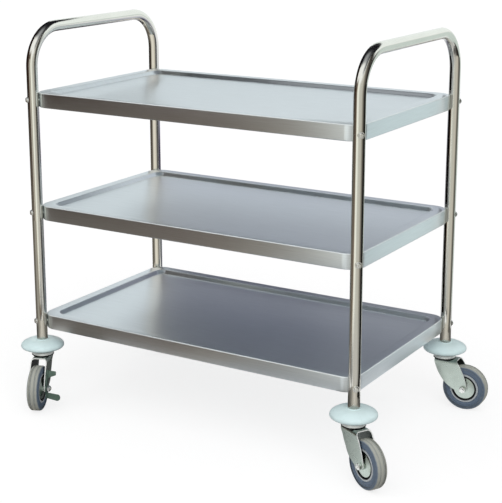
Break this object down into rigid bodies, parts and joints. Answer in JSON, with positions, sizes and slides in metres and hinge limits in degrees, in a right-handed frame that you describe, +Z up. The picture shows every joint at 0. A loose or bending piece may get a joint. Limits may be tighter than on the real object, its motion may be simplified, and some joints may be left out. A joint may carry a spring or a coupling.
{
  "type": "dining cart",
  "caption": "Stainless serving cart: pressed shelves with sunk floors bolted between bent-tube end frames that form push handles, on bumpered swivel casters, some with brakes.",
  "frame": {"origin": "on the floor, under the middle of the four posts", "axes": "+X along the shelves, with a handle at each end; -Y the front long side; +Z up"},
  "size_m": [0.9523, 0.6066, 0.8735],
  "materials": {
    "polished_tube": "mirror-polished stainless steel",
    "satin_sheet": "satin stainless steel",
    "bright_fastener": "bright plated steel",
    "pale_plastic": "pale bluish-white moulded plastic",
    "plug_rubber": "black expander rubber",
    "zinc_steel": "zinc-plated pressed steel",
    "bearing_steel": "hardened steel",
    "hub_plastic": "light grey moulded plastic",
    "grey_tyre": "non-marking grey rubber",
    "brake_steel": "plated pressed steel, greenish grey"
  },
  "bodies": {
    "cart_frame": {"end_frame_left": "polished_tube", "end_frame_right": "polished_tube", "shelf_bottom": "satin_sheet", "shelf_middle": "satin_sheet", "shelf_top": "satin_sheet", "shelf_bolts": "bright_fastener", "shelf_washers": "bright_fastener", "shelf_nuts": "bright_fastener", "bumper_front_left": "pale_plastic", "tube_plug_front_left": "plug_rubber", "swivel_stem_front_left": "zinc_steel", "swivel_cap_front_left": "zinc_steel", "bumper_front_right": "pale_plastic", "tube_plug_front_right": "plug_rubber", "swivel_stem_front_right": "zinc_steel", "swivel_cap_front_right": "zinc_steel", "bumper_back_left": "pale_plastic", "tube_plug_back_left": "plug_rubber", "swivel_stem_back_left": "zinc_steel", "swivel_cap_back_left": "zinc_steel", "bumper_back_right": "pale_plastic", "tube_plug_back_right": "plug_rubber", "swivel_stem_back_right": "zinc_steel", "swivel_cap_back_right": "zinc_steel"},
    "caster_front_left": {"fork_front_left": "zinc_steel", "ball_ring_front_left": "bearing_steel", "thread_guards_front_left": "zinc_steel", "axle_sleeve_front_left": "bearing_steel", "axle_bolt_front_left": "bright_fastener", "axle_nut_front_left": "bright_fastener"},
    "wheel_front_left": {"wheel_hub_front_left": "hub_plastic", "tyre_front_left": "grey_tyre"},
    "brake_front_left": {"brake_lever_front_left": "brake_steel"},
    "caster_front_right": {"fork_front_right": "zinc_steel", "ball_ring_front_right": "bearing_steel", "thread_guards_front_right": "zinc_steel", "axle_sleeve_front_right": "bearing_steel", "axle_bolt_front_right": "bright_fastener", "axle_nut_front_right": "bright_fastener"},
    "wheel_front_right": {"wheel_hub_front_right": "hub_plastic", "tyre_front_right": "grey_tyre"},
    "caster_back_left": {"fork_back_left": "zinc_steel", "ball_ring_back_left": "bearing_steel", "thread_guards_back_left": "zinc_steel", "axle_sleeve_back_left": "bearing_steel", "axle_bolt_back_left": "bright_fastener", "axle_nut_back_left": "bright_fastener"},
    "wheel_back_left": {"wheel_hub_back_left": "hub_plastic", "tyre_back_left": "grey_tyre"},
    "brake_back_left": {"brake_lever_back_left": "brake_steel"},
    "caster_back_right": {"fork_back_right": "zinc_steel", "ball_ring_back_right": "bearing_steel", "thread_guards_back_right": "zinc_steel", "axle_sleeve_back_right": "bearing_steel", "axle_bolt_back_right": "bright_fastener", "axle_nut_back_right": "bright_fastener"},
    "wheel_back_right": {"wheel_hub_back_right": "hub_plastic", "tyre_back_right": "grey_tyre"}
  },
  "joints": [
    {"name": "swivel_front_left", "type": "hinge", "parent": "cart_frame", "child": "caster_front_left", "pos_m": [-0.4, -0.23, 0.118], "axis": [0, 0, 1], "continuous": true},
    {"name": "roll_front_left", "type": "hinge", "parent": "caster_front_left", "child": "wheel_front_left", "pos_m": [-0.37885, -0.2775, 0.051], "axis": [-0.9135, -0.4067, 0], "continuous": true},
    {"name": "brake_front_left", "type": "hinge", "parent": "caster_front_left", "child": "brake_front_left", "pos_m": [-0.37885, -0.2775, 0.051], "axis": [0.9135, 0.4067, 0], "range_deg": [0, 30]},
    {"name": "swivel_front_right", "type": "hinge", "parent": "cart_frame", "child": "caster_front_right", "pos_m": [0.4, -0.23, 0.118], "axis": [0, 0, 1], "continuous": true},
    {"name": "roll_front_right", "type": "hinge", "parent": "caster_front_right", "child": "wheel_front_right", "pos_m": [0.4457, -0.25481, 0.051], "axis": [-0.4772, -0.8788, 0], "continuous": true},
    {"name": "swivel_back_left", "type": "hinge", "parent": "cart_frame", "child": "caster_back_left", "pos_m": [-0.4, 0.23, 0.118], "axis": [0, 0, 1], "continuous": true},
    {"name": "roll_back_left", "type": "hinge", "parent": "caster_back_left", "child": "wheel_back_left", "pos_m": [-0.36799, 0.18902, 0.051], "axis": [-0.788, -0.6157, 0], "continuous": true},
    {"name": "brake_back_left", "type": "hinge", "parent": "caster_back_left", "child": "brake_back_left", "pos_m": [-0.36799, 0.18902, 0.051], "axis": [0.788, 0.6157, 0], "range_deg": [0, 30]},
    {"name": "swivel_back_right", "type": "hinge", "parent": "cart_frame", "child": "caster_back_right", "pos_m": [0.4, 0.23, 0.118], "axis": [0, 0, 1], "continuous": true},
    {"name": "roll_back_right", "type": "hinge", "parent": "caster_back_right", "child": "wheel_back_right", "pos_m": [0.45187, 0.23363, 0.051], "axis": [0.0698, -0.9976, 0], "continuous": true}
  ]
}
